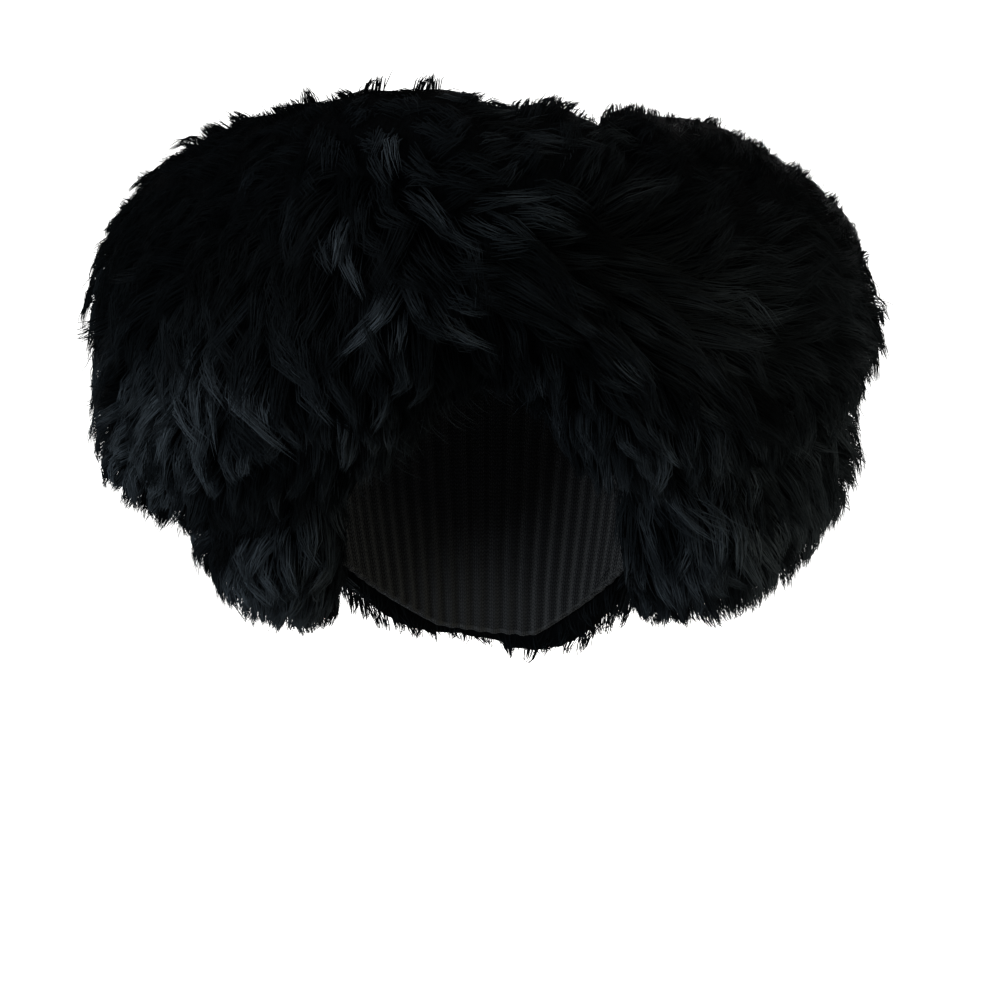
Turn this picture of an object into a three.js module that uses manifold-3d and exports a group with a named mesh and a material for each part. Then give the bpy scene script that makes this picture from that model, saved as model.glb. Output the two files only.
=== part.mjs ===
// Knit hat with deep fur trim, modelled as it is worn.
// Millimetres, +Z up, -Y is the front (face side), +X is the wearer's left ear.
// The origin is the top of the head: the inner apex of the knit cap.
//
//   knit_cap        hollow knitted cap, open below and at the face
//   fur_brow        fur cuff from ear to ear over the forehead
//   fur_ear_left    fur flap hanging over the wearer's left ear  (+X)
//   fur_ear_right   fur flap hanging over the wearer's right ear (-X)
//   fur_nape        fur over the back of the head, hanging to the neck
//
// Every fur piece is a solid of the outer form of its pile; its inner side
// follows the knit cap and, below the cap's rim, the side of the head.
import * as THREE from 'three';
import Module from 'manifold-3d';

const wasm = await Module();
wasm.setup();

// ------------------------------------------------------------ driving sizes
const KNIT = 4.0;            // thickness of the knitted wall
const GAP = 0.7;             // between a fur piece and the knit
const SPLIT = 1.0;           // between neighbouring fur pieces
const CROWN_DROP = 92;       // apex down to the widest section of the head
const CAP_AZ = 48;           // facets round the cap
const CAP_ROWS = 15;         // rows from apex to rim
const FUR_STEP = 7.5;        // degrees between sections of a fur piece
const N_LOW = 6;             // points on a section's lower shoulder,
const N_WALL = 2;            //   its outer wall,
const N_TOP = 8;             //   its upper shoulder,
const N_IN = 6;              //   the slope into the well
const N_HEAD = 14;           //   and the side against the head
const DEG = Math.PI / 180;

// Inside of the knit cap, half sizes of its level sections under the dome.
const HEAD = [
  { z: -92, side: 76, front: 94, back: 96 },
  { z: -130, side: 76, front: 94, back: 93 },
  { z: -170, side: 72, front: 90, back: 85 },
  { z: -210, side: 66, front: 84, back: 77 },
  { z: -250, side: 63, front: 80, back: 74 },
  { z: -300, side: 63, front: 80, back: 74 },
];

// Rim of the knit cap by azimuth: 0 is the front, 90 is +X, 180 is the back.
const RIM = [
  { az: -180, z: -236 },
  { az: -160, z: -230 },
  { az: -135, z: -206 },
  { az: -110, z: -180 },
  { az: -90, z: -168 },
  { az: -75, z: -152 },
  { az: -60, z: -118 },
  { az: -45, z: -84 },
  { az: -25, z: -58 },
  { az: 0, z: -48 },
  { az: 25, z: -58 },
  { az: 45, z: -84 },
  { az: 60, z: -118 },
  { az: 75, z: -152 },
  { az: 90, z: -168 },
  { az: 110, z: -182 },
  { az: 135, z: -210 },
  { az: 160, z: -236 },
  { az: 180, z: -236 },
];

// Sections of the fur pieces. Each row is the section in the upright plane at
// azimuth az: it leaves the head at zLow, swells to rOut between zA and zB,
// closes over the ridge (rTop, zTop) and slopes down to the cap towards
// (rWell, zWell). nLow and nTop are the exponents of its two shoulders.
const BROW = [
  { az: -120, zLow: -138, rOut: 164, zA: -96, zB: -46, rTop: 92, zTop: 20, rWell: 50, zWell: -24, nLow: 2.4, nTop: 1.7 },
  { az: -90, zLow: -142, rOut: 174, zA: -100, zB: -52, rTop: 90, zTop: 30, rWell: 50, zWell: -24, nLow: 2.7, nTop: 1.56 },
  { az: -70, zLow: -142, rOut: 169, zA: -98, zB: -46, rTop: 92, zTop: 33, rWell: 50, zWell: -24, nLow: 2.6, nTop: 1.62 },
  { az: -50, zLow: -131, rOut: 160, zA: -86, zB: -40, rTop: 97, zTop: 36, rWell: 51, zWell: -22, nLow: 2.4, nTop: 1.75 },
  { az: -34, zLow: -112, rOut: 157, zA: -66, zB: -30, rTop: 100, zTop: 39, rWell: 52, zWell: -21, nLow: 2.2, nTop: 1.9 },
  { az: -18, zLow: -92, rOut: 157, zA: -42, zB: -18, rTop: 101, zTop: 43, rWell: 53, zWell: -20, nLow: 2.0, nTop: 2.05 },
  { az: -7, zLow: -73, rOut: 156, zA: -26, zB: -10, rTop: 101, zTop: 44, rWell: 54, zWell: -20, nLow: 2.0, nTop: 2.1 },
  { az: 3, zLow: -60, rOut: 156, zA: -18, zB: -6, rTop: 101, zTop: 42, rWell: 54, zWell: -20, nLow: 2.0, nTop: 2.1 },
  { az: 13, zLow: -78, rOut: 157, zA: -30, zB: -10, rTop: 101, zTop: 38, rWell: 54, zWell: -20, nLow: 2.1, nTop: 2.05 },
  { az: 26, zLow: -104, rOut: 159, zA: -48, zB: -20, rTop: 100, zTop: 34, rWell: 53, zWell: -21, nLow: 2.2, nTop: 2.0 },
  { az: 38, zLow: -106, rOut: 162, zA: -62, zB: -28, rTop: 98, zTop: 32, rWell: 52, zWell: -21, nLow: 2.4, nTop: 1.85 },
  { az: 55, zLow: -98, rOut: 165, zA: -70, zB: -34, rTop: 94, zTop: 31, rWell: 51, zWell: -22, nLow: 2.6, nTop: 1.72 },
  { az: 72, zLow: -89, rOut: 170, zA: -70, zB: -46, rTop: 90, zTop: 29, rWell: 50, zWell: -24, nLow: 3.0, nTop: 1.56 },
  { az: 90, zLow: -85, rOut: 173, zA: -70, zB: -52, rTop: 88, zTop: 27, rWell: 50, zWell: -24, nLow: 3.2, nTop: 1.54 },
  { az: 120, zLow: -86, rOut: 164, zA: -70, zB: -48, rTop: 92, zTop: 20, rWell: 50, zWell: -24, nLow: 3.0, nTop: 1.7 },
];

// The flaps hang below the cuff; their upper parts tuck in under it.
const EAR_RIGHT = [
  { az: -120, zLow: -192, rOut: 140, zA: -160, zB: -146, rTop: 86, zTop: -100, rWell: 60, zWell: -116, nLow: 2.0, nTop: 2.2 },
  { az: -100, zLow: -196, rOut: 141, zA: -158, zB: -146, rTop: 86, zTop: -98, rWell: 60, zWell: -114, nLow: 1.8, nTop: 2.2 },
  { az: -84, zLow: -198, rOut: 138, zA: -158, zB: -146, rTop: 86, zTop: -98, rWell: 60, zWell: -114, nLow: 1.8, nTop: 2.2 },
  { az: -66, zLow: -196, rOut: 131, zA: -160, zB: -144, rTop: 87, zTop: -96, rWell: 60, zWell: -112, nLow: 1.9, nTop: 2.2 },
  { az: -52, zLow: -182, rOut: 124, zA: -152, zB: -138, rTop: 88, zTop: -90, rWell: 60, zWell: -106, nLow: 2.0, nTop: 2.2 },
  { az: -43, zLow: -162, rOut: 118, zA: -136, zB: -124, rTop: 91, zTop: -86, rWell: 60, zWell: -102, nLow: 2.0, nTop: 2.2 },
  { az: -37.5, zLow: -140, rOut: 110, zA: -124, zB: -114, rTop: 95, zTop: -92, rWell: 60, zWell: -104, nLow: 2.0, nTop: 2.2 },
];
const EAR_LEFT = [
  { az: 37.5, zLow: -136, rOut: 122, zA: -118, zB: -104, rTop: 95, zTop: -84, rWell: 60, zWell: -98, nLow: 2.0, nTop: 2.2 },
  { az: 45, zLow: -166, rOut: 138, zA: -132, zB: -106, rTop: 92, zTop: -74, rWell: 60, zWell: -88, nLow: 2.0, nTop: 2.2 },
  { az: 56, zLow: -184, rOut: 150, zA: -134, zB: -102, rTop: 88, zTop: -64, rWell: 60, zWell: -78, nLow: 1.8, nTop: 2.2 },
  { az: 70, zLow: -195, rOut: 159, zA: -126, zB: -98, rTop: 86, zTop: -60, rWell: 60, zWell: -74, nLow: 1.7, nTop: 2.2 },
  { az: 86, zLow: -198, rOut: 166, zA: -120, zB: -96, rTop: 86, zTop: -58, rWell: 60, zWell: -72, nLow: 1.62, nTop: 2.3 },
  { az: 102, zLow: -199, rOut: 164, zA: -122, zB: -96, rTop: 86, zTop: -58, rWell: 60, zWell: -72, nLow: 1.65, nTop: 2.3 },
  { az: 120, zLow: -200, rOut: 158, zA: -126, zB: -96, rTop: 86, zTop: -58, rWell: 60, zWell: -72, nLow: 1.8, nTop: 2.3 },
];
const NAPE = [
  { az: 120, zLow: -206, rOut: 160, zA: -118, zB: -50, rTop: 92, zTop: 20, rWell: 50, zWell: -24, nLow: 1.8, nTop: 1.7 },
  { az: 135, zLow: -231, rOut: 156, zA: -110, zB: -56, rTop: 96, zTop: 6, rWell: 56, zWell: -32, nLow: 1.7, nTop: 1.75 },
  { az: 150, zLow: -247, rOut: 153, zA: -108, zB: -66, rTop: 102, zTop: -10, rWell: 62, zWell: -42, nLow: 1.65, nTop: 1.8 },
  { az: 166, zLow: -251, rOut: 152, zA: -110, zB: -74, rTop: 107, zTop: -22, rWell: 68, zWell: -52, nLow: 1.6, nTop: 1.85 },
  { az: 182, zLow: -247, rOut: 151, zA: -112, zB: -78, rTop: 109, zTop: -26, rWell: 70, zWell: -56, nLow: 1.6, nTop: 1.85 },
  { az: 198, zLow: -242, rOut: 152, zA: -110, zB: -74, rTop: 107, zTop: -22, rWell: 68, zWell: -52, nLow: 1.6, nTop: 1.85 },
  { az: 212, zLow: -234, rOut: 154, zA: -108, zB: -66, rTop: 102, zTop: -10, rWell: 62, zWell: -42, nLow: 1.65, nTop: 1.8 },
  { az: 226, zLow: -220, rOut: 157, zA: -110, zB: -56, rTop: 96, zTop: 6, rWell: 56, zWell: -32, nLow: 1.7, nTop: 1.75 },
  { az: 240, zLow: -200, rOut: 160, zA: -114, zB: -50, rTop: 92, zTop: 20, rWell: 50, zWell: -24, nLow: 1.8, nTop: 1.7 },
];

// --------------------------------------------------------------- functions
// Smooth value of every column of a table at key k (monotone cubic easing).
function at(table, key, k) {
  const n = table.length;
  if (k * Math.sign(table[n - 1][key] - table[0][key]) <= table[0][key] * Math.sign(table[n - 1][key] - table[0][key])) return { ...table[0] };
  for (let i = 0; i < n - 1; i++) {
    const a = table[i], b = table[i + 1];
    const lo = Math.min(a[key], b[key]), hi = Math.max(a[key], b[key]);
    if (k >= lo && k <= hi) {
      const t = (k - a[key]) / (b[key] - a[key]);
      const p = table[Math.max(i - 1, 0)], q = table[Math.min(i + 2, n - 1)];
      const out = {};
      for (const c of Object.keys(a)) {
        const span = b[key] - a[key];
        const ma = (b[c] - p[c]) / ((b[key] - p[key]) || 1) * span;
        const mb = (q[c] - a[c]) / ((q[key] - a[key]) || 1) * span;
        const t2 = t * t, t3 = t2 * t;
        out[c] = (2 * t3 - 3 * t2 + 1) * a[c] + (t3 - 2 * t2 + t) * ma
               + (-2 * t3 + 3 * t2) * b[c] + (t3 - t2) * mb;
      }
      return out;
    }
  }
  return { ...table[n - 1] };
}

// Radius of the head's level section at azimuth az and height z, grown by g.
function headRadius(az, z, g) {
  let f = 1, h = HEAD[0];
  if (z > -CROWN_DROP) {
    const drop = CROWN_DROP + g;
    const c = Math.min(1, (z + CROWN_DROP) / drop);
    f = Math.sqrt(Math.max(0, 1 - c * c));
  } else h = at(HEAD, 'z', z);
  const s = Math.sin(az * DEG), c = Math.cos(az * DEG);
  const a = (h.side + g) * f, b = ((c > 0 ? h.front : h.back) + g) * f;
  if (f === 0) return 0;
  return 1 / Math.sqrt((s / a) ** 2 + (c / b) ** 2);
}

// Length along a meridian from the apex down to height z, and back again.
function zToRun(z, g) {
  const drop = CROWN_DROP + g;
  if (z > -CROWN_DROP) return Math.acos(Math.min(1, (z + CROWN_DROP) / drop)) * drop;
  return Math.PI / 2 * drop - CROWN_DROP - z;
}
function runToZ(run, g) {
  const drop = CROWN_DROP + g, dome = Math.PI / 2 * drop;
  if (run <= dome) return -CROWN_DROP + drop * Math.cos(run / drop);
  return -CROWN_DROP - (run - dome);
}

const place = (az, r, z) => [r * Math.sin(az * DEG), -r * Math.cos(az * DEG), z];

class Builder {
  constructor() { this.v = []; this.t = []; }
  point(p) { this.v.push(...p); return this.v.length / 3 - 1; }
  tri(a, b, c) { this.t.push(a, b, c); }
  quad(a, b, c, d) { this.tri(a, b, c); this.tri(a, c, d); }
  solid() {
    const m = new wasm.Manifold(new wasm.Mesh({
      numProp: 3,
      vertProperties: new Float32Array(this.v),
      triVerts: new Uint32Array(this.t),
    }));
    return m;
  }
}

// One skin of the cap: a dome grown by g, from its apex to the rim.
function rows(build, g, rimOf, count) {
  const apex = build.point([0, 0, g]);
  const rings = [];
  for (let j = 1; j <= count; j++) {
    const ring = [];
    for (let i = 0; i < CAP_AZ; i++) {
      const az = -180 + 360 * i / CAP_AZ;
      const z = runToZ(zToRun(rimOf(az), g) * j / count, g);
      ring.push(build.point(place(az, headRadius(az, z, g), z)));
    }
    rings.push(ring);
  }
  return { apex, rings };
}

function knitCap() {
  const b = new Builder();
  const rim = (az) => at(RIM, 'az', az).z;
  const out = rows(b, KNIT, rim, CAP_ROWS), inn = rows(b, 0, rim, CAP_ROWS);
  for (let i = 0; i < CAP_AZ; i++) {
    const k = (i + 1) % CAP_AZ;
    b.tri(out.apex, out.rings[0][i], out.rings[0][k]);
    b.tri(inn.apex, inn.rings[0][k], inn.rings[0][i]);
    for (let j = 0; j < CAP_ROWS - 1; j++) {
      b.quad(out.rings[j][i], out.rings[j + 1][i], out.rings[j + 1][k], out.rings[j][k]);
      b.quad(inn.rings[j][k], inn.rings[j + 1][k], inn.rings[j + 1][i], inn.rings[j][i]);
    }
    const m = CAP_ROWS - 1;
    b.quad(out.rings[m][i], inn.rings[m][i], inn.rings[m][k], out.rings[m][k]);
  }
  return b.solid();
}

// Radius that a fur piece has to stay outside of: the cap, or the head below it.
const innerRadius = (az, z) => headRadius(az, z, KNIT + GAP);

// Slow swell of the pile: broad locks, a few millimetres deep.
function swell(az, u) {
  return 2.2 * Math.sin(az * DEG * 9 + 1.3) * Math.sin(u * 5.2 + 0.4)
       + 1.6 * Math.sin(az * DEG * 5 - 0.7 + u * 3.1);
}

// One section of a fur piece as (r, z) points, from its foot at the head round
// the outside, over the ridge, down to the cap and back along the cap.
function section(row, g) {
  const inner = (z) => innerRadius(row.az, z) - 8 * g;
  const pts = [];
  const low = row.zLow - g, outR = row.rOut + g, top = row.zTop + g;
  const rFoot = inner(low);
  const rStart = Math.min(innerRadius(row.az, row.zLow) + 8, row.rOut - 8);
  pts.push([rFoot, low]);
  for (let i = 0; i <= N_LOW; i++) {       // lower shoulder
    const a = i / N_LOW * Math.PI / 2;
    const c = Math.pow(Math.sin(a), 2 / row.nLow), s = Math.pow(Math.cos(a), 2 / row.nLow);
    pts.push([rStart + (outR - rStart) * c, row.zA + (low - row.zA) * s]);
  }
  for (let i = 1; i <= N_WALL; i++) pts.push([outR, row.zA + (row.zB - row.zA) * i / N_WALL]);
  for (let i = 1; i <= N_TOP; i++) {       // upper shoulder up to the ridge
    const a = i / N_TOP * Math.PI / 2;
    const c = Math.pow(Math.cos(a), 2 / row.nTop), s = Math.pow(Math.sin(a), 2 / row.nTop);
    pts.push([row.rTop + (outR - row.rTop) * c, row.zB + (top - row.zB) * s]);
  }
  const slope = (a) => [                   // inner slope down towards the well
    row.rWell - g + (row.rTop - row.rWell + g) * Math.cos(a),
    top + (row.zWell - top) * (0.5 * (1 - Math.cos(a)) + 0.5 * Math.sin(a)),
  ];
  let lo = 0, hi = Math.PI / 2;            // where the slope meets the cap
  for (let k = 0; k < 40; k++) {
    const a = (lo + hi) / 2, [r, z] = slope(a);
    if (r > inner(z)) lo = a; else hi = a;
  }
  for (let i = 1; i <= N_IN; i++) pts.push(slope(lo * i / N_IN));
  const outside = pts.length - 1;
  const zc = slope(lo)[1];
  const s0 = zToRun(zc, KNIT + GAP), s1 = zToRun(low, KNIT + GAP);
  for (let i = 1; i < N_HEAD; i++) {       // back down along the cap
    const z = runToZ(s0 + (s1 - s0) * i / N_HEAD, KNIT + GAP);
    pts.push([inner(z), z]);
  }
  for (let i = 1; i < outside; i++) {      // broad locks on the outer side only
    const u = i / outside, w = Math.sqrt(Math.sin(Math.PI * u)) * (row.rOut - row.rTop > 34 ? 1 : 0.4);
    pts[i][0] += swell(row.az, u) * w;
    pts[i][1] += swell(row.az + 23, u + 0.7) * w * 0.4;
    pts[i][0] = Math.max(pts[i][0], inner(pts[i][1]) + 0.4);
  }
  return pts;
}

// Loft through the sections of a table; g grows the piece to make a clearance.
function furPiece(table, g, gAz) {
  const b = new Builder();
  const first = table[0].az, last = table[table.length - 1].az;
  const steps = Math.round((last - first) / FUR_STEP);
  const all = [];
  for (let i = 0; i <= steps; i++) {
    const az = first + (last - first) * i / steps;
    const row = at(table, 'az', az);
    let a = az;
    if (i === 0) a -= gAz;
    if (i === steps) a += gAz;
    all.push(section({ ...row, az }, g).map(([r, z]) => b.point(place(a, r, z))));
  }
  const n = all[0].length;
  for (let i = 0; i < steps; i++) for (let j = 0; j < n; j++) {
    const k = (j + 1) % n;
    b.quad(all[i][j], all[i + 1][j], all[i + 1][k], all[i][k]);
  }
  const cap = (ring, flip) => {          // end face, earcut in its own plane
    const shape = ring.map((id) => new THREE.Vector2(Math.hypot(b.v[3 * id], b.v[3 * id + 1]), b.v[3 * id + 2]));
    for (const [p, q, s] of THREE.ShapeUtils.triangulateShape(shape, [])) flip ? b.tri(ring[p], ring[s], ring[q]) : b.tri(ring[p], ring[q], ring[s]);
  };
  const area = THREE.ShapeUtils.area(all[0].map((id) => new THREE.Vector2(Math.hypot(b.v[3 * id], b.v[3 * id + 1]), b.v[3 * id + 2])));
  cap(all[0], area < 0);
  cap(all[steps], area > 0);
  let m = b.solid();
  if (m.volume() < 0) throw new Error('fur piece is inside out');
  return m;
}

// ---------------------------------------------------------------- assembly
const halfGapAz = SPLIT / 2 / 120 / DEG;

const brow = furPiece(BROW, 0, -halfGapAz);
const browGrown = furPiece(BROW, SPLIT, 1);

// What of a flap hangs clear below the cuff.
function underBrow(flap) {
  const parts = flap.subtract(browGrown).decompose();
  return parts.reduce((a, b) => (a.volume() > b.volume() ? a : b)).simplify(0.05);
}
const earRight = underBrow(furPiece(EAR_RIGHT, 0, -halfGapAz));
const earLeft = underBrow(furPiece(EAR_LEFT, 0, -halfGapAz));
const nape = furPiece(NAPE, 0, -halfGapAz);

const hat = new THREE.Group();

function add(name, solid, color, roughness) {
  const mesh = solid.getMesh();
  const g = new THREE.BufferGeometry();
  g.setAttribute('position', new THREE.BufferAttribute(new Float32Array(mesh.vertProperties), 3));
  g.setIndex(new THREE.BufferAttribute(new Uint32Array(mesh.triVerts), 1));
  g.computeVertexNormals();
  const m = new THREE.Mesh(g, new THREE.MeshStandardMaterial({ color, roughness, metalness: 0 }));
  m.name = name;
  hat.add(m);
}

add('knit_cap', knitCap(), 0x121315, 0.92);
add('fur_brow', brow, 0x0b0c0d, 0.7);
add('fur_ear_left', earLeft, 0x0c0d0d, 0.7);
add('fur_ear_right', earRight, 0x0c0e10, 0.7);
add('fur_nape', nape, 0x090a0a, 0.72);

export default hat;
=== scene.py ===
"""Looks of the fur-trimmed knit hat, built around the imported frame.

Lengths in the tables are millimetres in the frame's axes: +Z up, -Y the face
side, +X the wearer's left ear. az is the azimuth in degrees, 0 at the front
and 90 at +X. Blender objects are in metres.
"""
import math

import bpy
import numpy as np
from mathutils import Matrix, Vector
from mathutils.bvhtree import BVHTree
from mathutils.kdtree import KDTree


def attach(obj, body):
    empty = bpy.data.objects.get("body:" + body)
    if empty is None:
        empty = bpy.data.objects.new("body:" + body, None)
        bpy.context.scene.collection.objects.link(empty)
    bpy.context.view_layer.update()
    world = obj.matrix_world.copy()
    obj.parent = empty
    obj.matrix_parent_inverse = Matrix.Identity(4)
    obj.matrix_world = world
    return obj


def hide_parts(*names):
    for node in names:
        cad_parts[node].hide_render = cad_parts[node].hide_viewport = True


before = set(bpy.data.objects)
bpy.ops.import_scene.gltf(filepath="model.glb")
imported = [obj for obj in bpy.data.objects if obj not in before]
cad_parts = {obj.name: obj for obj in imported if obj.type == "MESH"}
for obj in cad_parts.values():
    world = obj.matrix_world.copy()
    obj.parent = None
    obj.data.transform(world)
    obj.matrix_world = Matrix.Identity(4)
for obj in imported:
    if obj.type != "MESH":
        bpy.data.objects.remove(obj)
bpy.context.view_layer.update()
MM = 0.001

# ----------------------------------------------------------------- sizes
KNIT = 4.0            # knitted wall
CROWN_DROP = 92.0     # apex down to the widest section of the head
HEAD = (              # inside of the cap: z, side, front, back
    (-92, 76, 94, 96),
    (-130, 76, 94, 93),
    (-170, 72, 90, 85),
    (-210, 66, 84, 77),
    (-250, 63, 80, 74),
    (-300, 63, 80, 74),
)
RIM = (               # rim of the cap: az, z
    (-180, -236), (-160, -230), (-135, -206), (-110, -180), (-90, -168),
    (-75, -152), (-60, -118), (-45, -84), (-25, -58), (0, -48), (25, -58),
    (45, -84), (60, -118), (75, -152), (90, -168), (110, -182), (135, -210),
    (160, -236), (180, -236),
)

# How the pile lies. side: towards growing azimuth, down: down the surface,
# lift: degrees off the surface, length: mm, tone: 0 deepest black to 1 grey,
# the pile's own black with painted sheen where locks face the light and
# painted shade where they turn from it, mess: how far, in degrees,
# neighbouring locks turn from each other.
FLOW = (
    # az,   z,  side, down, lift, length, tone, mess
    (2, 42, 0.9, 0.1, 16, 28, 0.55, 26),
    (-6, 42, 0.65, 0.35, 16, 28, 0.42, 28),
    (-15, 40, 0.45, 0.65, 16, 28, 0.42, 30),
    (14, 38, 0.8, -0.5, 18, 30, 0.34, 24),
    (-34, 35, 0.1, 0.9, 16, 28, 0.14, 30),
    (34, 29, 0.8, -0.6, 12, 30, 0.14, 18),
    (-52, 22, -0.3, 0.8, 16, 30, 0.08, 28),
    (54, 14, 0.9, -0.2, 10, 32, 0.11, 16),
    (-84, 22, -0.3, 0.3, 20, 32, 0.14, 24),
    (84, 18, 0.5, 0.3, 12, 32, 0.14, 20),
    (-50, 4, -0.4, 0.8, 20, 30, 0.03, 28),
    (-38, 12, -0.05, 0.9, 22, 30, 0.02, 32),
    (-28, 4, 0.1, 0.95, 30, 27, 0.03, 36),
    (-26, 18, 0.2, 0.85, 28, 26, 0.06, 36),
    (-16, 8, 0.3, 0.85, 32, 26, 0.09, 36),
    (-12, 22, 0.5, 0.6, 30, 27, 0.28, 36),
    (-6, 6, 0.6, 0.5, 32, 27, 0.22, 34),
    (0, 20, 0.85, -0.2, 32, 26, 0.36, 34),
    (2, 2, 0.85, 0.0, 30, 28, 0.15, 32),
    (8, 12, 0.9, -0.45, 24, 32, 0.24, 24),
    (15, 0, 1.0, -0.25, 24, 34, 0.13, 20),
    (24, 12, 0.9, -0.4, 22, 36, 0.14, 18),
    (33, 2, 1.0, -0.15, 22, 38, 0.12, 16),
    (46, -4, 1.0, 0.1, 20, 38, 0.10, 16),
    (60, -12, 1.0, 0.25, 16, 36, 0.14, 16),
    (-62, -10, -0.6, 0.6, 20, 32, 0.03, 26),
    (-48, -20, -0.3, 0.9, 20, 32, 0.03, 28),
    (-34, -18, -0.05, 0.95, 22, 30, 0.02, 30),
    (-22, -18, 0.05, 1.0, 30, 27, 0.06, 34),
    (-10, -18, 0.35, 0.85, 30, 26, 0.08, 34),
    (0, -18, 0.6, 0.6, 28, 28, 0.06, 32),
    (8, -18, 0.8, 0.4, 24, 38, 0.12, 20),
    (18, -18, 1.0, 0.1, 24, 38, 0.20, 16),
    (30, -20, 1.0, 0.08, 24, 40, 0.20, 14),
    (44, -24, 1.0, 0.25, 22, 40, 0.21, 14),
    (60, -34, 1.0, 0.4, 22, 38, 0.21, 16),
    (-66, -46, -0.6, 0.85, 22, 36, 0.20, 20),
    (-48, -46, -0.25, 1.0, 20, 38, 0.22, 18),
    (-36, -46, -0.05, 1.0, 20, 38, 0.30, 16),
    (-24, -46, 0.1, 1.0, 22, 34, 0.16, 20),
    (-12, -46, 0.3, 0.95, 22, 30, 0.14, 22),
    (0, -46, 0.3, 0.95, 20, 26, 0.13, 20),
    (8, -48, 0.3, 1.0, 20, 26, 0.16, 18),
    (16, -48, 0.7, 0.75, 22, 34, 0.20, 18),
    (26, -48, 0.95, 0.45, 24, 40, 0.28, 14),
    (42, -50, 1.0, 0.35, 24, 40, 0.31, 14),
    (60, -56, 0.95, 0.5, 24, 38, 0.31, 16),
    (-8, -58, 0.15, 1.0, 12, 13, 0.30, 18),
    (10, -60, 0.0, 1.0, 12, 13, 0.26, 18),
    (-66, -78, -0.45, 1.0, 22, 38, 0.60, 16),
    (-48, -74, -0.15, 1.0, 20, 42, 0.85, 12),
    (-36, -72, 0.0, 1.0, 20, 42, 0.90, 12),
    (-26, -72, 0.25, 1.0, 14, 21, 0.50, 14),
    (-30, -92, 0.35, 1.0, 12, 19, 0.60, 12),
    (-16, -66, 0.35, 1.0, 12, 15, 0.40, 16),
    (20, -70, -0.05, 1.0, 14, 18, 0.44, 14),
    (30, -72, 0.5, 0.9, 22, 38, 0.46, 14),
    (44, -76, 0.8, 0.7, 24, 40, 0.46, 14),
    (60, -80, 0.8, 0.8, 24, 38, 0.50, 16),
    (-72, -104, -0.4, 1.0, 20, 22, 0.80, 14),
    (-70, -122, -0.3, 1.0, 12, 8, 0.70, 14),
    (-52, -96, 0.0, 1.0, 20, 40, 1.15, 12),
    (-38, -94, 0.25, 1.0, 20, 40, 0.95, 12),
    (-58, -116, -0.2, 1.0, 16, 19, 0.85, 14),
    (-44, -112, 0.2, 1.0, 16, 28, 0.85, 14),
    (28, -92, -0.1, 1.0, 14, 22, 0.65, 12),
    (-100, -60, -0.5, 0.9, 24, 38, 0.30, 18),
    (100, -50, 0.6, 0.8, 24, 38, 0.35, 18),
    # flap over the wearer's right ear
    (-42, -135, 0.35, 1.0, 12, 34, 0.75, 14),
    (-60, -150, 0.0, 1.0, 14, 38, 1.08, 10),
    (-80, -155, -0.15, 1.0, 14, 26, 0.70, 12),
    (-60, -185, 0.1, 1.0, 8, 9, 0.95, 12),
    (-85, -185, 0.0, 1.0, 6, 8, 0.70, 12),
    (-48, -174, 0.5, 1.0, 8, 15, 0.95, 16),
    (-105, -160, -0.15, 1.0, 16, 30, 0.45, 14),
    # flap over the wearer's left ear
    (42, -110, 0.1, 1.0, 18, 36, 0.68, 12),
    (56, -112, 0.6, 0.9, 24, 38, 0.58, 14),
    (74, -110, 0.7, 0.8, 26, 38, 0.58, 16),
    (50, -145, 0.2, 1.0, 18, 38, 0.84, 12),
    (70, -150, 0.5, 1.0, 20, 38, 0.76, 14),
    (66, -185, 0.3, 1.0, 10, 10, 0.72, 14),
    (46, -178, -0.3, 1.0, 8, 12, 0.75, 12),
    (88, -185, 0.2, 1.0, 10, 13, 0.60, 14),
    (105, -150, 0.3, 1.0, 20, 40, 0.45, 16),
    # nape
    (140, 0, 0.3, 0.6, 30, 36, 0.24, 24),
    (180, -26, 0.0, 0.6, 30, 36, 0.30, 24),
    (-140, 0, -0.3, 0.6, 30, 36, 0.30, 24),
    (130, -80, 0.3, 1.0, 24, 42, 0.35, 18),
    (160, -90, 0.15, 1.0, 22, 44, 0.40, 16),
    (-160, -90, -0.15, 1.0, 22, 44, 0.38, 16),
    (-130, -80, -0.3, 1.0, 24, 42, 0.35, 18),
    (150, -160, 0.1, 1.0, 18, 44, 0.42, 14),
    (180, -150, 0.0, 1.0, 18, 44, 0.45, 14),
    (-150, -160, -0.1, 1.0, 18, 44, 0.40, 14),
    (165, -225, 0.0, 1.0, 12, 20, 0.35, 12),
    (-150, -215, 0.0, 1.0, 12, 20, 0.35, 12),
)

# Tufts that stand up along the top edge: az, z, rise in mm
TUFTS = ((11, 40, 3), (13.5, 39, 5), (27.5, 36, 7), (30, 36, 3), (-43, 30, 4), (-50, 24, 4), (-54, 19, 4))

# Lower edge of the brow's lobe, where it folds over the flap below: az, z
FOLD = ((-66, -130), (-57, -120), (-49, -115), (-44, -107), (-38, -98), (-32, -90), (-25, -84), (-20, -80))

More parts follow.
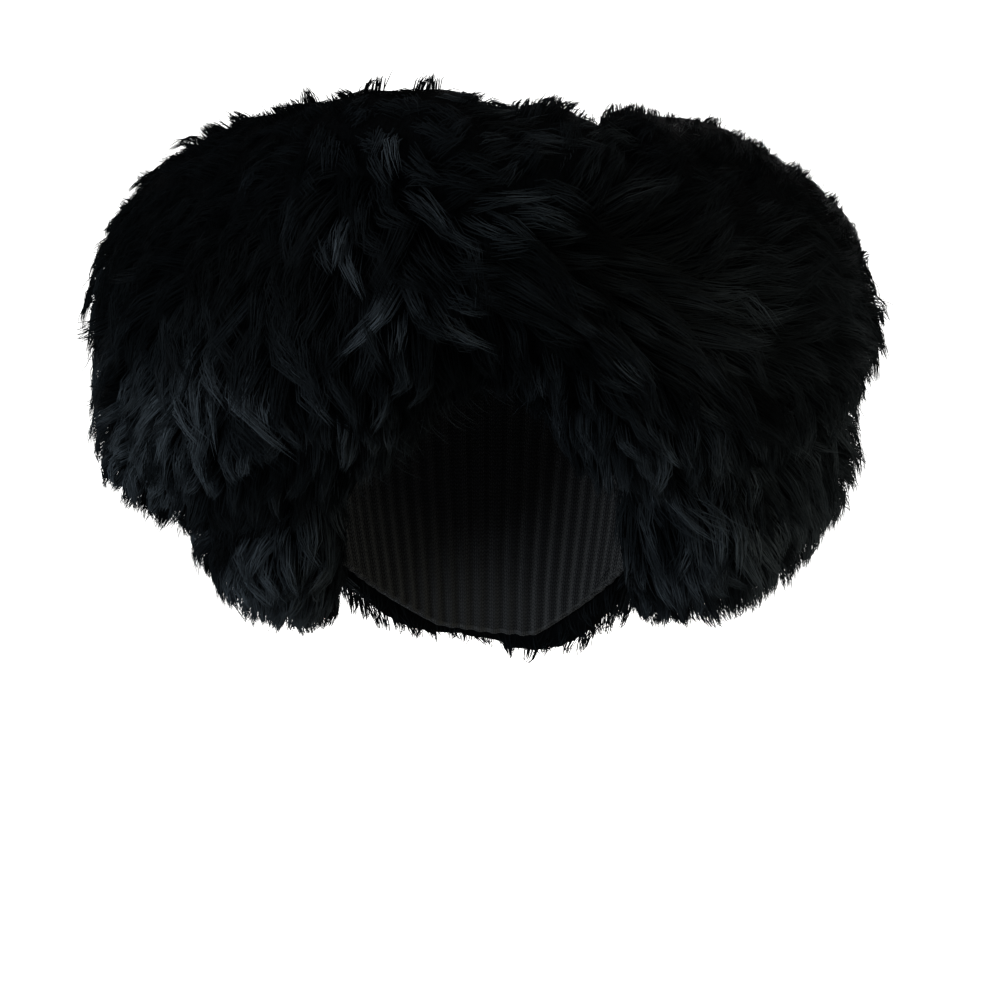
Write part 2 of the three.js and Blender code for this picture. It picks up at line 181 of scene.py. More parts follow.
# Single tufts and patches that catch the light: az, z, reach in mm, added tone
SHINE = (
    (-18, -9, 5, 1.00), (-8, 2, 5, 0.70), (-4, -34, 6, 0.80), (-12, -34, 5, 0.75), (-24, -4, 4, 0.50), (-24, 28, 4, 0.30),
    (1, -6, 6, 0.30), (5, 3, 6, 0.34), (10, 12, 6, 0.30), (-26, 8, 5, 0.25),
    (-14, 26, 6, 0.26), (-1, 30, 6, 0.30), (12, -34, 6, 0.30), (19, -52, 6, 0.30),
    (27, -30, 6, 0.22), (36, -40, 7, 0.26), (31, -8, 6, 0.22), (42, -18, 7, 0.22),
    (24, 4, 6, 0.20), (50, -62, 7, 0.26), (34, -66, 7, 0.26), (56, -30, 7, 0.20),
    (-48, -94, 13, 0.35), (-31, -68, 10, 0.35), (-60, -70, 8, 0.20), (-40, -50, 7, 0.25),
)

# For each fur piece: long strands and shorter fill strands per square
# millimetre, spacing of small and broad locks, strand radius at its thickest,
# and how many meshes carry the strands.
PILE = {
    "fur_brow": (0.078, 0.275, 7.5, 20.0, 0.258, 3),
    "fur_nape": (0.044, 0.130, 8.5, 23.0, 0.340, 1),
    "fur_ear_left": (0.068, 0.240, 7.5, 19.0, 0.262, 1),
    "fur_ear_right": (0.075, 0.275, 7.5, 19.0, 0.258, 1),
}
SOFT = 0.62            # how far a strand is shaded like the surface it lies on


# ------------------------------------------------------------ small tools
def unit(a):
    return a / (np.linalg.norm(a, axis=-1, keepdims=True) + 1e-12)


def azimuth(p):
    return np.degrees(np.arctan2(p[..., 0], -p[..., 1]))


def head_radius(az, z, g):
    """Radius of the head's level section, grown by g."""
    az = np.asarray(az, float)
    z = np.asarray(z, float)
    t = np.array(HEAD, float)[::-1]
    side = np.interp(z, t[:, 0], t[:, 1])
    front = np.interp(z, t[:, 0], t[:, 2])
    back = np.interp(z, t[:, 0], t[:, 3])
    c = np.clip((z + CROWN_DROP) / (CROWN_DROP + g), 0, 1)
    f = np.where(z > -CROWN_DROP, np.sqrt(np.maximum(0, 1 - c * c)), 1.0)
    s, k = np.sin(np.radians(az)), np.cos(np.radians(az))
    a = (side + g) * f + 1e-6
    b = (np.where(k > 0, front, back) + g) * f + 1e-6
    return 1 / np.sqrt((s / a) ** 2 + (k / b) ** 2)


def waves(p, scale, seed, count=7):
    """Smooth field in -1..1 at points p (mm), with features about scale wide."""
    r = np.random.default_rng(seed)
    out = np.zeros(len(p))
    for _ in range(count):
        d = r.normal(size=3)
        d *= 2 * math.pi / scale / np.linalg.norm(d) * r.uniform(0.6, 1.5)
        out += np.sin(p @ d + r.uniform(0, 2 * math.pi))
    return out / math.sqrt(count)


def make_mesh(name, verts, faces, smooth=True, attrs=None, uv=None, uv_name="OFBake"):
    """verts (n,3) in mm, faces (m,3) or (m,4); attrs: {name: per-vertex floats};
    uv: per-vertex pairs."""
    verts = np.asarray(verts, np.float32) * MM
    faces = np.asarray(faces, np.int32)
    k = faces.shape[1]
    me = bpy.data.meshes.new(name)
    me.vertices.add(len(verts))
    me.vertices.foreach_set("co", verts.ravel())
    me.loops.add(faces.size)
    me.loops.foreach_set("vertex_index", faces.ravel())
    me.polygons.add(len(faces))
    me.polygons.foreach_set("loop_start", np.arange(0, faces.size, k, dtype=np.int32))
    me.polygons.foreach_set("use_smooth", np.full(len(faces), smooth))
    me.update(calc_edges=True)
    for key, val in (attrs or {}).items():
        a = me.attributes.new(key, "FLOAT", "POINT")
        a.data.foreach_set("value", np.asarray(val, np.float32))
    if uv is not None:
        layer = me.uv_layers.new(name=uv_name)
        layer.data.foreach_set("uv", np.asarray(uv, np.float32)[faces.ravel()].ravel())
    me.validate()
    ob = bpy.data.objects.new(name, me)
    bpy.context.scene.collection.objects.link(ob)
    return ob


def arrays(ob):
    """World vertices (mm), triangles and vertex normals of an object's mesh."""
    dg = bpy.context.evaluated_depsgraph_get()
    ev = ob.evaluated_get(dg)
    me = ev.to_mesh()
    me.calc_loop_triangles()
    v = np.zeros(len(me.vertices) * 3)
    me.vertices.foreach_get("co", v)
    t = np.zeros(len(me.loop_triangles) * 3, np.int32)
    me.loop_triangles.foreach_get("vertices", t)
    v = v.reshape(-1, 3)
    m = np.array(ob.matrix_world)
    v = (v @ m[:3, :3].T + m[:3, 3]) / MM
    t = t.reshape(-1, 3)
    ev.to_mesh_clear()
    return v, t, vertex_normals(v, t)


def vertex_normals(v, t):
    fn = np.cross(v[t[:, 1]] - v[t[:, 0]], v[t[:, 2]] - v[t[:, 0]])
    n = np.zeros_like(v)
    for i in range(3):
        np.add.at(n, t[:, i], fn)
    return unit(n)


def spread(points, radius):
    """Indices of a subset of points no closer than radius to each other."""
    cell = {}
    keep = []
    inv = 1 / radius
    keys = np.floor(points * inv).astype(int)
    r2 = radius * radius
    pts = points.tolist()
    for i, (kx, ky, kz) in enumerate(keys.tolist()):
        x, y, z = pts[i]
        ok = True
        for dx in (-1, 0, 1):
            for dy in (-1, 0, 1):
                for dz in (-1, 0, 1):
                    for j in cell.get((kx + dx, ky + dy, kz + dz), ()):
                        a, b, c = pts[j]
                        if (x - a) ** 2 + (y - b) ** 2 + (z - c) ** 2 < r2:
                            ok = False
                            break
                    if not ok:
                        break
                if not ok:
                    break
            if not ok:
                break
        if ok:
            cell.setdefault((kx, ky, kz), []).append(i)
            keep.append(i)
    return np.array(keep)


def nearest(points, centres):
    kd = KDTree(len(centres))
    for i, c in enumerate(centres.tolist()):
        kd.insert(c, i)
    kd.balance()
    return np.array([kd.find(p)[1] for p in points.tolist()])


# ---------------------------------------------------------------- fur form
def settle(node, v, n):
    """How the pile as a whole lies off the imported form, in mm."""
    az, z = azimuth(v), v[:, 2].copy()
    v = v.copy()
    ridge = np.clip(z / 25, 0, 1)
    if node == "fur_brow":
        v[:, 2] += 3.4 * np.interp(az, [24, 29, 50, 64], [0, 1, 1, 0]) * ridge
        v[:, 2] += 1.4 * np.interp(az, [-62, -46, -20, -12], [0, 1, 1, 0]) * ridge
        v[:, 2] += (1.4 * np.exp(-((az + 8) / 5.0) ** 2) - 3.2 * np.exp(-((az - 4.5) / 4.5) ** 2)) * ridge
        v[:, 2] -= 6.5 * np.exp(-((az - 22.0) / 3.2) ** 2) * ridge
        v[:, 2] += 3.4 * np.interp(az, [-76, -64, -50, -40], [0, 1, 1, 0]) * np.clip((-105 - z) / 28, 0, 1)
        full = np.interp(np.abs(az), [46, 64, 115, 130], [0, 1, 1, 0]) * np.clip(1.3 - np.abs(z + 4) / 26, 0, 1)
        flat = np.interp(az, [-120, -105, -75, -60], [0, 1, 1, 0]) * np.clip(1 - np.abs(z + 62) / 28, 0, 1)
        v += n * (4.2 * full - 2.2 * flat)[:, None] * (to_head(v) > 12)[:, None]
    if node == "fur_ear_right":
        w = np.clip((-150 - z) / 32, 0, 1) * np.interp(az, [-120, -96], [0, 1])
        v[:, 2] += 5.5 * w
        v[:, :2] *= (1 - 0.035 * w * np.interp(az, [-70, -50], [1, 0]))[:, None]
    if node == "fur_ear_left":
        v[:, 2] += 7.5 * np.clip((-140 - z) / 42, 0, 1) * np.interp(az, [60, 72, 96, 120], [0.5, 1, 1, 0])
    return v


def outer_form(node):
    """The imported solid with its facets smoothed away: (v, t, n) in mm."""
    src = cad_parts[node]
    ob = bpy.data.objects.new("tmp_form", src.data.copy())
    ob.matrix_world = src.matrix_world.copy()
    bpy.context.scene.collection.objects.link(ob)
    bpy.context.view_layer.update()
    rm = ob.modifiers.new("r", "REMESH")
    rm.mode = "VOXEL"
    rm.voxel_size = 5.2 * MM
    sm = ob.modifiers.new("s", "SMOOTH")
    sm.factor = 0.5
    sm.iterations = 7
    v, t, n = arrays(ob)
    me = ob.data
    bpy.data.objects.remove(ob)
    bpy.data.meshes.remove(me)
    v = settle(node, v, n)
    return v, t, vertex_normals(v, t)


FLOW_A = np.array(FLOW, float)


def flow_at(p):
    """Table values of the pile at surface points p."""
    az, z = azimuth(p), p[:, 2]
    out = np.zeros((len(p), 6))
    total = np.zeros(len(p)) + 1e-9
    for row in FLOW_A:
        da = (az - row[0] + 180) % 360 - 180
        d2 = (da * 2.5) ** 2 + (z - row[1]) ** 2
        w = np.exp(-d2 / (2 * 17.0 ** 2)) + 1e-5 / (1 + d2 / 900)
        out += w[:, None] * row[2:]
        total += w
    return out / total[:, None]


def pile_frame(p, n):
    """Unit vectors at surface points: along growing azimuth, and down."""
    a = np.radians(azimuth(p))
    side = np.stack([np.cos(a), np.sin(a), np.zeros(len(p))], 1)
    out = np.stack([np.sin(a), -np.cos(a), np.zeros(len(p))], 1)
    down = np.tile([0.0, 0.0, -1.0], (len(p), 1))
    # over the ridge the pile parts: out on the outer side, in on the inner
    r = np.hypot(p[:, 0], p[:, 1])
    lean = np.clip((r - 88) / 14, -1, 1)[:, None]
    down = down + 0.45 * lean * out
    down = unit(down - n * (down * n).sum(1, keepdims=True))
    side = unit(side - n * (side * n).sum(1, keepdims=True))
    return side, down


def lay(p, n, rng, seed, share=1.0):
    """Direction along the surface, lift, length, tone of the pile at p."""
    f = flow_at(p)
    side, down = pile_frame(p, n)
    ang = np.arctan2(f[:, 0], f[:, 1])
    ang = ang + np.radians(16) * waves(p, 70, seed)
    ang = ang + np.radians(f[:, 5] * share) * rng.normal(size=len(p))
    d = np.cos(ang)[:, None] * down + np.sin(ang)[:, None] * side
    return unit(d), f[:, 2], f[:, 3], f[:, 4]


def sample(v, t, n, count, rng):
    a, b, c = v[t[:, 0]], v[t[:, 1]], v[t[:, 2]]
    area = 0.5 * np.linalg.norm(np.cross(b - a, c - a), axis=1)
    f = rng.choice(len(t), size=count, p=area / area.sum())
    r1, r2 = np.sqrt(rng.random(count)), rng.random(count)
    w = np.stack([1 - r1, r1 * (1 - r2), r1 * r2], 1)
    p = (v[t[f]] * w[:, :, None]).sum(1)
    m = unit((n[t[f]] * w[:, :, None]).sum(1))
    return p, m


def to_head(p):
    """How far a point stands outside the knit."""
    return np.hypot(p[:, 0], p[:, 1]) - head_radius(azimuth(p), np.minimum(p[:, 2], -0.5), KNIT)


def rim_height(az):
    rt = np.array(RIM, float)
    return np.interp((az + 180) % 360 - 180, rt[:, 0], rt[:, 1])


def below_rim(p, n):
    """True on the side turned to the head, where no knit covers it."""
    out = unit(np.stack([p[:, 0], p[:, 1], np.zeros(len(p))], 1))
    inward = (n * out).sum(1) < -0.45
    return inward & (to_head(p) < 9) & (p[:, 2] < rim_height(azimuth(p)) - 4)


def exposed(p, n, others):
    """True where a surface point carries pile that can be seen."""
    gap = to_head(p)
    out = unit(np.stack([p[:, 0], p[:, 1], np.zeros(len(p))], 1))
    inward = (n * out).sum(1) < -0.55
    ok = ~((gap < 9) & inward)
    ok &= gap > 2.5
    ok |= below_rim(p, n)
    # faces turned to a neighbouring fur piece lie against its pile
    for tree in others:
        for i in np.nonzero(ok)[0]:
            loc, nor, _, dist = tree.find_nearest(Vector(p[i]), 9.0)
            if loc is not None and (dist < 0.8 or (dist < 9.0 and float(np.dot(n[i], nor)) < -0.6)):
                ok[i] = False
    return ok


def strands(ctrl, rad, rng, ts, face):
    """Closed three-sided tapering strands along cubic curves, at parameters ts.
    face: the normals of the surface that they lie on."""
    p0, p1, p2, p3 = ctrl
    k, segs = len(p0), len(ts) - 1
    prof = np.interp(ts, [0, 0.4, 0.75, 1], [0.8, 1.0, 0.62, 0.0])
    roll = rng.uniform(0, 2 * math.pi, k)
    axis = unit(p3 - p0)
    ref = np.where(np.abs(axis[:, 2:3]) < 0.9, [[0, 0, 1.0]], [[1.0, 0, 0]])
    vs, ns = [], []
    for i, tt in enumerate(ts):
        x = (1 - tt) ** 3 * p0 + 3 * (1 - tt) ** 2 * tt * p1 + 3 * (1 - tt) * tt * tt * p2 + tt ** 3 * p3
        if i == segs:
            vs.append(x[:, None, :])
            ns.append(face[:, None, :])
            break
        tan = unit((p1 - p0) * (1 - tt) ** 2 + 2 * (p2 - p1) * (1 - tt) * tt + (p3 - p2) * tt * tt)
        e1 = unit(np.cross(tan, ref))
        e2 = np.cross(tan, e1)
        ring, rn = [], []
        for q in range(3):
            th = roll + 2 * math.pi * q / 3
            o = np.cos(th)[:, None] * e1 + np.sin(th)[:, None] * e2
            ring.append(x + o * (rad * prof[i])[:, None])
            rn.append(unit(SOFT * face + (1 - SOFT) * o))
        vs.append(np.stack(ring, 1))
        ns.append(np.stack(rn, 1))
    v, nn = np.concatenate(vs, 1), np.concatenate(ns, 1)
    m = v.shape[1]
    f = [(0, 2, 1)]
    for i in range(segs - 1):
        for q in range(3):
            a, b = 3 * i + q, 3 * i + (q + 1) % 3
            f += [(a, b, b + 3), (a, b + 3, a + 3)]
    last = 3 * (segs - 1)
    for q in range(3):
        f.append((last + q, last + (q + 1) % 3, 3 * segs))
    f = np.array(f)
    faces = (f[None] + (np.arange(k) * m)[:, None, None]).reshape(-1, 3)
    along = np.concatenate([np.repeat(ts[:-1], 3), [1.0]])
    around = np.concatenate([np.tile([0.0, 0.5, 1.0], segs), [0.5]])
    return v.reshape(-1, 3), faces, np.tile(along, k), np.tile(around, k), nn.reshape(-1, 3), m


def strand_mesh(name, groups, tones, rng):
    """One mesh of many strands; each strand has its own small island in the UV."""
    verts, faces, along, around, norm, tone, who = [], [], [], [], [], [], []
    base, first = 0, 0
    for (v, f, a, r, nn, m), tn in zip(groups, tones):
        verts.append(v)
        faces.append(f + base)
        along.append(a)
        around.append(r)
        norm.append(nn)
        tone.append(np.repeat(tn, m))
        who.append(np.repeat(np.arange(len(tn)), m) + first)
        base += len(v)
        first += len(tn)
    verts, faces = np.concatenate(verts), np.concatenate(faces)
    along, around, norm, tone, who = map(np.concatenate, (along, around, norm, tone, who))
    nx = int(math.ceil(math.sqrt(first * 2.0)))
    ny = int(math.ceil(first / nx))
    cx, cy = who % nx, who // nx
    uv = np.stack([(cx + 0.12 + 0.76 * around) / nx, (cy + 0.08 + 0.84 * along) / ny], 1)
    own = rng.random(first)[who]
    ob = make_mesh(name, verts, faces, attrs={"along": along, "around": around, "tone": tone, "own": own}, uv=uv)
    ob.data.normals_split_custom_set_from_vertices(norm.tolist())
    return ob


FORMS = {}
TREES = {}


def grow(node, seed):
    """Core and pile of one fur piece."""
    density, fill, lock, broad, radius, split = PILE[node]
    rng = np.random.default_rng(seed)
    v, t, n = FORMS[node]
    others = [TREES[k] for k in TREES if k != node]
    # ---- core: the dense underfur, sunk below the outer form
    gap = to_head(v)
    show = exposed(v, n, others).astype(float)
    depth = np.clip(0.42 * np.maximum(gap, 0), 0.0, 7.2) * show
    depth = depth * (1 - 0.72 * np.clip((n[:, 2] - 0.1) / 0.6, 0, 1)) * (1 - 0.5 * np.clip((-n[:, 2] - 0.2) / 0.5, 0, 1))
    depth = depth * (1 - 0.55 * np.interp(azimuth(v), [24, 32, 92, 100], [0, 1, 1, 0]) * np.interp(v[:, 2], [-40, -10], [0, 1]))
    near = np.zeros(len(v))
    for tree in others:
        for i, q in enumerate(v.tolist()):
            loc, _, _, dist = tree.find_nearest(Vector(q), 12.0)
            if loc is not None:
                near[i] = max(near[i], 1 - dist / 12.0)
    least = np.interp(v[:, 2], [0, 18, 28], [0, 2.2, 0.8]) * show
    depth = np.maximum(depth, least)
    depth = np.maximum(depth * (1 - near), 0.4)
    rough = 2.2 * waves(v, 17, seed + 5) + 1.5 * waves(v, 10, seed + 6)
    core = v - n * (depth + rough * np.clip((depth - 2) / 5, 0, 1))[:, None]
    body = make_mesh(node + "_core", core, t)
    # ---- where the locks stand
    total = 0.5 * np.linalg.norm(np.cross(v[t[:, 1]] - v[t[:, 0]], v[t[:, 2]] - v[t[:, 0]]), axis=1).sum()
    cand, cn = sample(v, t, n, int(total * 0.20), rng)
    ok = exposed(cand, cn, others)
    cand, cn = cand[ok], cn[ok]
    bi = spread(cand, broad)
    B, Bn = cand[bi], cn[bi]
    li = spread(cand, lock)
    S, Sn = cand[li], cn[li]
    own = nearest(S, B)
    # ---- broad locks: a shared turn, reach and height
    Bd, _, _, _ = lay(B, Bn, rng, seed + 1, 0.8)
    Bscale = rng.uniform(0.85, 1.15, len(B))
    Bh = rng.normal(-0.4, 3.0, len(B))
    # ---- small locks
    Sd, Slift, Slen, Stone = lay(S, Sn, rng, seed + 1, 0.75)
    Bq = Bd[own] - Sn * (Bd[own] * Sn).sum(1, keepdims=True)
    Sd = unit(0.62 * Sd + 0.38 * Bq)
    Ss = np.cross(Sn, Sd)
    bare = below_rim(S, Sn)
    low = np.clip((-Sn[:, 2] - 0.1) / 0.5, 0, 1)     # lower edges end in uneven points
    L = Slen * Bscale[own] * rng.uniform(0.75 - 0.15 * low, 1.2 + 0.45 * low)
    L = np.where(bare, 15.0, L)
    h = np.clip(0.7 * Bh[own] + rng.normal(-0.2, 2.4, len(S)), -5.5, 4.6)
    h = np.where(S[:, 2] > 28, np.minimum(h, -0.2), h)
    smooth = np.interp(azimuth(S), [24, 32, 92, 100], [0, 1, 1, 0]) * np.interp(S[:, 2], [-40, -10], [0, 1])
    h = np.where(h > 1.2, h + smooth * (1.2 - h), h)
    h = np.where(h < -1.0, h + np.maximum(smooth, np.clip(S[:, 2] / 25, 0, 1)) * (-1.0 - h), h)
    h = np.where(bare, 0.3, h)
    Saz = azimuth(S)
    fold = np.interp(Saz, [f[0] for f in FOLD], [f[1] for f in FOLD])
    span = np.interp(Saz, [-68, -57, -28, -21], [0, 1, 1, 0]) * (node == "fur_brow") * ~bare
    above = S[:, 2] - fold
    L = np.where((span > 0.3) & (above > 0), np.minimum(L, np.maximum((above + 3.5) / 0.56, 10)), L)
    h = h + span * np.where(above > 0, 1.6 * np.clip(1 - above / 14, 0, 1), -3.4 * np.clip(-above / 3, 0, 1) * np.clip(1 + above / 30, 0, 1))
    # painted shadow: brow locks below the fold line are darkened, as the shadow under the lobe
    shade = 1 - span * np.clip(-above / 3, 0, 1) * (0.85 - 0.55 * np.clip(-above / 26, 0, 1))
    notch = np.exp(-((Saz - 22.0) / 4.0) ** 2) * np.clip(S[:, 2] / 25, 0, 1) * (node == "fur_brow")
    L = L * (1 - 0.45 * notch)
    lift = np.tan(np.radians(np.where(bare, 4, Slift))) * np.interp(S[:, 2], [22, 32], [1, 0.3])
    curl = np.interp(azimuth(S), [-70, -50, 8, 24], [0.17, 0.27, 0.27, 0.15])
    bend = curl * rng.normal(size=len(S)) + 0.12 * waves(S, 34, seed + 3)
    dep = np.clip(0.46 * to_head(S), 0.5, 15.0)

    def col(x):
        return np.asarray(x)[:, None]

    # at a seam the pile stands up to the level of its neighbour's and meets it
    facing, lip = Sn.copy(), np.zeros(len(S))
    for tree in others:
        for i, q in enumerate(S.tolist()):
            loc, nor, _, dist = tree.find_nearest(Vector(q), 14.0)
            if loc is not None and not bare[i]:
                w = 1 - dist / 14.0
                if w > lip[i]:
                    lip[i] = w
                    facing[i] = Sn[i] + min(1.0, 1.6 * w) * np.array(nor)
    facing = unit(facing)
    under = node == "fur_ear_right"       # the brow's lower lobe overhangs this flap
    h = h + (4.0 if under else 11.0) * np.clip(1 - (Sn * facing).sum(1), 0, 0.8) + (0.0 if under else 1.0) * lip
    Sd = unit(Sd - facing * (Sd * facing).sum(1, keepdims=True))
    flat, Sn = Sn, facing
    Ss = np.cross(Sn, Sd)

    C0 = S - Sn * col(dep) - Sd * col(0.26 * L)
    C1 = S + Sn * col(0.5 * h + 0.8) - Sd * col(0.20 * L) - Ss * col(0.25 * bend * L)
    C2 = S + Sn * col(h + 0.06 * L * lift + 1.2) + Sd * col(0.26 * L) + Ss * col(0.1 * bend * L)
    C3 = S + Sn * col(h + 0.10 * L * lift - 0.6) + Sd * col(0.56 * L) + Ss * col(bend * L)
    # the locks follow the form instead of standing off where it turns away
    tree = TREES[node]
    for C, most in ((C2, h + 0.06 * L * lift + 1.0), (C3, h + 0.08 * L * lift - 0.4)):
        top = np.maximum(most, 0.6) - 0.8 * np.clip(Sn[:, 2], 0, 1)
        for i, q in enumerate(C.tolist()):
            if Sn[i, 2] < 0.15 or lip[i] > 0.1:
                continue
            loc, nor, _, _ = tree.find_nearest(Vector(q))
            up = float((Vector(q) - loc).dot(nor))
            if up > top[i]:
                C[i] = np.array(loc) + (C[i] - np.array(loc)) * (top[i] / up)
    # under the lower edges the pile hangs free
    hang = col(np.clip((-flat[:, 2] - 0.25) / 0.5, 0, 1))
    out = unit(np.stack([S[:, 0], S[:, 1], 0 * S[:, 0]], 1))
    away = np.where(col(to_head(S)) > 14, 0.12, -0.02)
    fall = np.tile([0.0, 0.0, -1.0], (len(S), 1)) + away * out + 0.10 * rng.normal(size=S.shape)
    C1 = C1 + hang * (S + fall * col(0.05 * L) - C1)
    C2 = C2 + hang * (S + fall * col(0.25 * L) - C2)
    C3 = C3 + hang * (S + fall * col(np.minimum(0.38 * L, 11.0)) + Ss * col(0.5 * bend * L) - C3)
    C3[:, 2] -= 0.05 * L * (1 - np.abs(Sd[:, 2]))
    Stone = np.clip(Stone * (1 + 0.44 * rng.normal(size=len(S)) + 0.30 * rng.normal(size=len(B))[own]), 0, 1.7)
    flash = rng.random(len(S)) < 0.03             # a few locks catch the light
    Stone = np.where(flash & ~bare, Stone + 0.25, Stone)
    for az0, z0, rise in TUFTS:
        d = np.hypot((Saz - az0) * 2.5, S[:, 2] - z0)
        w = col(np.clip(1.6 - d / 6.0, 0, 1) * (np.hypot(S[:, 0], S[:, 1]) > 92))
        up = unit(np.array([0.0, 0.0, 1.0]) + 0.25 * Sn + 0.35 * Sd)
        C1 = C1 + w * (S - C1)
        C2 = C2 + w * (S + up * (0.55 * rise) - C2)
        C3 = C3 + w * (S + up * rise + 0.12 * rise * Ss - C3)
    # along the ridge some short locks stand off and break its outline
    rr = np.random.default_rng(seed + 9)
    stand = col(np.clip((flat[:, 2] - 0.35) / 0.3, 0, 1) * (rr.random(len(S)) < 0.40) * ~bare)
    rise = col(rr.uniform(3.5, 6.5, len(S)))
    lean = unit(np.array([0.0, 0.0, 0.45]) + 0.9 * Sd + 0.2 * flat + 0.3 * rr.normal(size=S.shape))
    C1 = C1 + stand * (S + 0.4 * flat - C1)
    C2 = C2 + stand * (S + lean * (0.6 * rise) - C2)
    C3 = C3 + stand * (S + lean * rise - C3)
    for az0, z0, reach, more in SHINE:
        d = np.hypot((Saz - az0) * 2.5, S[:, 2] - z0)
        Stone = Stone + more * np.clip(1.6 - d / reach, 0, 1)
    Stone = np.where(bare, 0.25, Stone)
    # painted shadow under the brow's fold
    Stone = Stone * shade
    # painted shade: the flap is darker near its seam, where the brow's lobe overhangs it
    if under:
        Stone = Stone * (1 - 0.45 * np.clip(1.5 * lip - 0.1, 0, 1))

    def follow(P, Pn, conv, k, jitter):
        """Curves of strands that root around P and close in on their lock's point."""
        sub = nearest(P, S)
        off = P - S[sub]
        off = off - Sn[sub] * (off * Sn[sub]).sum(1, keepdims=True)
        sink = (P - S[sub]) - off

        def at(c, w, j):
            return S[sub] + (c[sub] - S[sub]) * col(k) + off * col(1 - conv * w) + sink + j * jitter * rng.normal(size=P.shape)

        return [C0[sub] + off + sink, at(C1, 0.10, 0.5), at(C2, 0.60, 0.8), at(C3, 1.0, 1.0)], sub

    def scatter(rate):
        P, Pn = sample(v, t, n, int(total * rate), rng)
        ok = exposed(P, Pn, others)
        # the face side carries more than the rest
        ok &= rng.random(len(P)) < np.interp(P[:, 1], [10, 60], [1.0, 0.75])
        return P[ok], Pn[ok]

    objs = [body]
    P, Pn = scatter(density + fill)
    short = rng.random(len(P)) < fill / (density + fill)
    conv = np.where(short, rng.uniform(0.25, 0.80, len(P)), rng.uniform(0.50, 0.93, len(P)))
    k = np.where(short, rng.uniform(0.55, 0.98, len(P)), rng.uniform(0.82, 1.08, len(P)))
    conv = np.minimum(conv + 0.22 * low[nearest(P, S)], 0.95)
    fly = (~short) & (rng.random(len(P)) < 0.04)
    conv = np.where(fly, 0.1, conv)
    ctrl, sub = follow(P, Pn, conv, k, 0.75)
    ctrl[3] = ctrl[3] + np.where(col(fly), Pn * col(rng.uniform(0, 3, len(P))) + 2.0 * rng.normal(size=P.shape), 0)
    rad = radius * rng.uniform(0.7, 1.2, len(P))
    # painted shade: strands darker towards the edges of their small and broad locks, as in the shaded gaps between
    # locks
    edge = np.linalg.norm(P - S[sub], axis=1) / (0.75 * lock)
    wide = np.linalg.norm(P - B[own[sub]], axis=1) / (0.75 * broad)
    gap_shade = (1.26 - 0.62 * np.clip(edge, 0, 1)) * (1.22 - 0.50 * np.clip(wide, 0, 1))
    tone = np.clip(Stone[sub] * gap_shade * (1.0 + 0.28 * rng.normal(size=len(P))), 0, 2)
    face = unit(Sn[sub] + Pn + 0.35 * (ctrl[3] - ctrl[2]) / 10.0)
    edges = (Pn[:, 2] < -0.55) & (azimuth(P) > -38) & (azimuth(P) < 12) & (to_head(P) < 30) & (to_head(P) > 4)
    pick = np.nonzero(edges & ~short)[0]
    pick = pick[rng.random(len(pick)) < 0.30] if node == "fur_brow" else pick[:0]
    w = len(pick)
    reach = rng.uniform(9, 17, w)
    turn = rng.normal(0.15, 0.28, w)
    drop = np.stack([turn, rng.normal(-0.05, 0.10, w), -np.ones(w)], 1)
    q0 = P[pick] - Pn[pick] * 1.5
    q1 = q0 + col(0.30 * reach) * drop
    q2 = q0 + col(0.66 * reach) * (drop + np.stack([0.3 * turn, 0 * turn, 0.08 + 0 * turn], 1))
    q3 = q0 + col(0.95 * reach) * (drop + np.stack([0.9 * turn, 0 * turn, 0.18 + 0 * turn], 1))
    wisps = [q0, q1, q2, q3]
    for i, idx in enumerate(np.array_split(rng.permutation(len(P)), split)):
        name = node + "_pile" + ("_%d" % (i + 1) if split > 1 else "")
        lo, sh = idx[~short[idx]], idx[short[idx]]
        ga = strands([q[lo] for q in ctrl], rad[lo], rng, np.array([0.12, 0.48, 0.76, 1.0]), face[lo])
        gb = strands([q[sh] for q in ctrl], rad[sh], rng, np.array([0.14, 0.62, 1.0]), face[sh])
        sets, tones = [ga, gb], [tone[lo], tone[sh]]
        if i == 0 and w:
            sets.append(strands(wisps, np.full(w, 0.14), rng, np.array([0.0, 0.30, 0.55, 0.8, 1.0]), face[pick]))
            tones.append(np.full(w, 0.7))
        objs.append(strand_mesh(name, sets, tones, rng))
    print(node, "area", int(total), "strands", len(P), "locks", len(S), "broad", len(B),
          "tris", [len(o.data.polygons) for o in objs])
    return objs


# ------------------------------------------------------------ materials
def mat_new(name):
    m = bpy.data.materials.new(name)
    m.use_nodes = True
    nt = m.node_tree
    bsdf = next(x for x in nt.nodes if x.type == "BSDF_PRINCIPLED")
    return m, nt, bsdf


def node(nt, kind, **inputs):
    x = nt.nodes.new(kind)
    for key, val in inputs.items():
        if key in x.inputs:
            x.inputs[key].default_value = val
        else:
            setattr(x, key, val)
    return x


